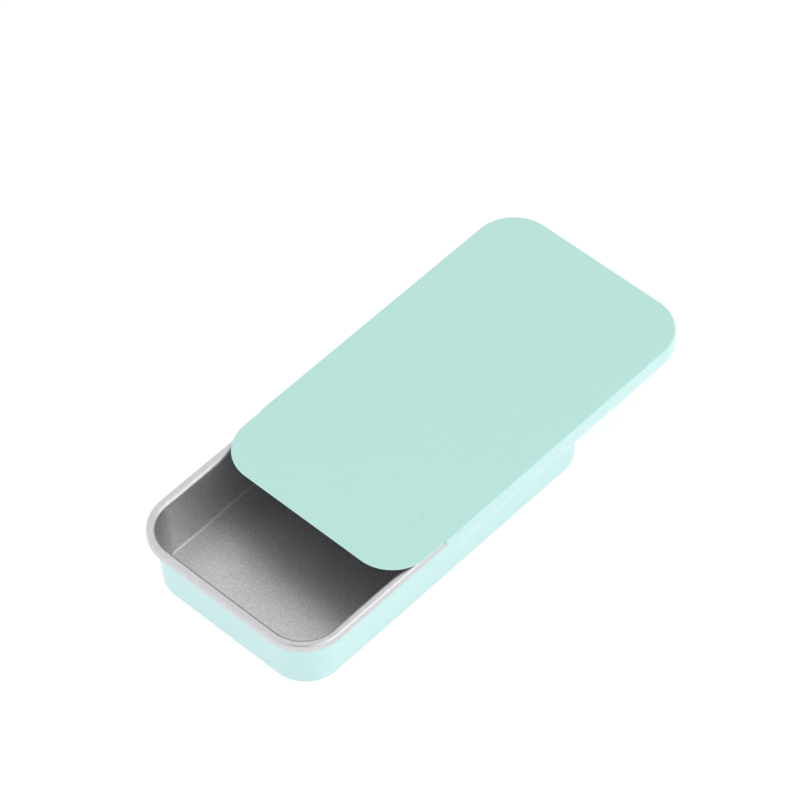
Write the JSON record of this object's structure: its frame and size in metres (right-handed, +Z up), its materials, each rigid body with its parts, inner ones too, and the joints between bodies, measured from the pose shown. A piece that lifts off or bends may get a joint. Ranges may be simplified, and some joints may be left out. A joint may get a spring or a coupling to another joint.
{
  "type": "sliding lid tin",
  "caption": "Small shallow tinplate box with rounded corners, whose lid slides open along the tray's rolled rim.",
  "frame": {"origin": "centre of the tray's flat underside, on the surface that the tin stands on", "axes": "+X along the tin's length, the way the lid opens; +Y across it; +Z up"},
  "size_m": [0.0766, 0.034, 0.0108],
  "materials": {
    "mint_paint": "smooth matt paint on the outside of the sheet",
    "bare_tinplate": "satin bare tinplate on the inside, the rim and the rolled lip"
  },
  "bodies": {
    "tray": {"tray": "mint_paint"},
    "lid": {"lid": "mint_paint"}
  },
  "joints": [
    {"name": "lid_slide", "type": "slide", "parent": "tray", "child": "lid", "axis": [1, 0, 0], "range_m": [-0.0173, 0.0167]}
  ]
}
